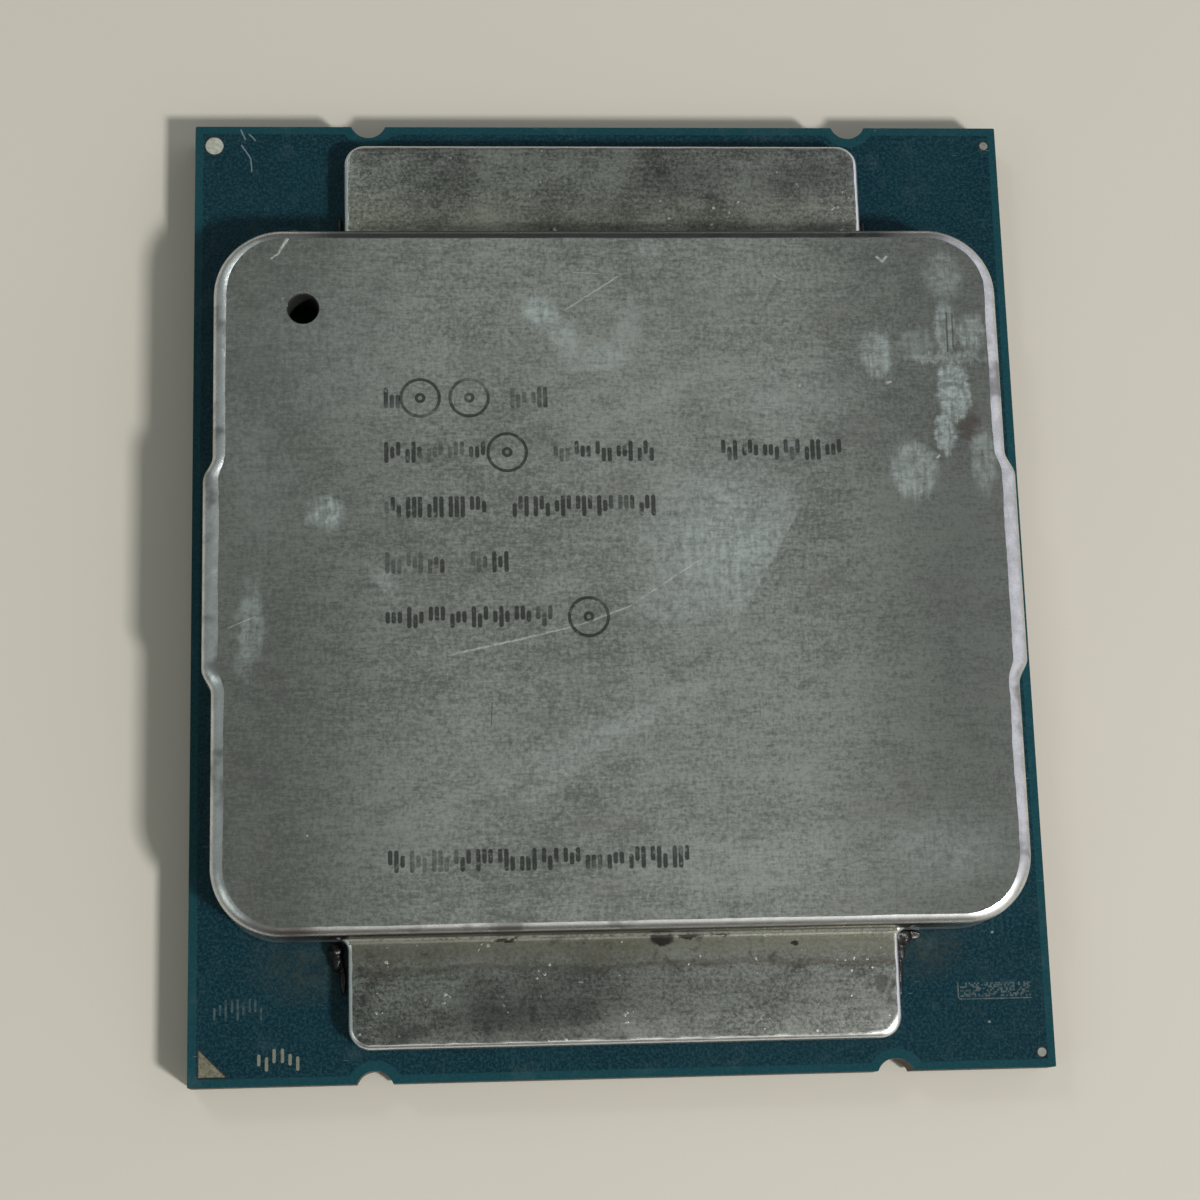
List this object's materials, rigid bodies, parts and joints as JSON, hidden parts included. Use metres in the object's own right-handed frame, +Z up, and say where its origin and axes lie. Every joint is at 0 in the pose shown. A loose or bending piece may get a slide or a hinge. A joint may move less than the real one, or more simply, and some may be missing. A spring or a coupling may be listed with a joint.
{
  "type": "desktop processor package",
  "caption": "Land-grid processor package with a stepped nickel-plated heat spreader, keyed laminate substrate and gold contact lands.",
  "frame": {"origin": "centre of the land plane, on the contact faces of the lands", "axes": "+Z up through the heat spreader, X along the 45 mm side, Y along the 52.5 mm side; the pin 1 corner is at -X, -Y"},
  "size_m": [0.045, 0.0524, 0.0057],
  "materials": {
    "laminate_core": "satin glass-fibre laminate",
    "buildup_resin": "satin build-up resin",
    "copper": "bare copper",
    "solder_mask": "glossy dark blue coating",
    "gold": "gold flash over nickel",
    "silicon": "polished silicon",
    "solder": "soft satin solder",
    "underfill_resin": "glossy filled epoxy",
    "nickel_plate": "satin nickel plate over copper, fine grain, worn rim",
    "sealant": "cured black adhesive",
    "capacitor_ceramic": "fired ceramic",
    "capacitor_terminal": "tinned terminal"
  },
  "bodies": {
    "root": {"substrate_core": "laminate_core", "core_copper_top": "copper", "core_copper_bottom": "copper", "buildup_top": "buildup_resin", "buildup_bottom": "buildup_resin", "copper_plane_top": "copper", "copper_plane_bottom": "copper", "solder_mask_top": "solder_mask", "solder_mask_bottom": "solder_mask", "fiducial_pads": "gold", "pin_one_mark_top": "gold", "pin_one_mark_bottom": "gold", "contact_lands": "gold", "silicon_die": "silicon", "die_bumps": "solder", "underfill": "underfill_resin", "die_back_metal": "gold", "solder_interface": "solder", "lid_gold_patch": "gold", "heat_spreader": "nickel_plate", "lid_seal": "sealant", "ear_seal_front": "sealant", "ear_seal_back": "sealant", "seal_squeeze_out": "sealant", "die_side_capacitor_pads": "gold", "land_side_capacitor_pads": "gold", "die_side_capacitor_solder": "solder", "land_side_capacitor_solder": "solder", "die_side_capacitor_bodies": "capacitor_ceramic", "land_side_capacitor_bodies": "capacitor_ceramic", "die_side_capacitor_terminals": "capacitor_terminal", "land_side_capacitor_terminals": "capacitor_terminal"}
  },
  "joints": []
}
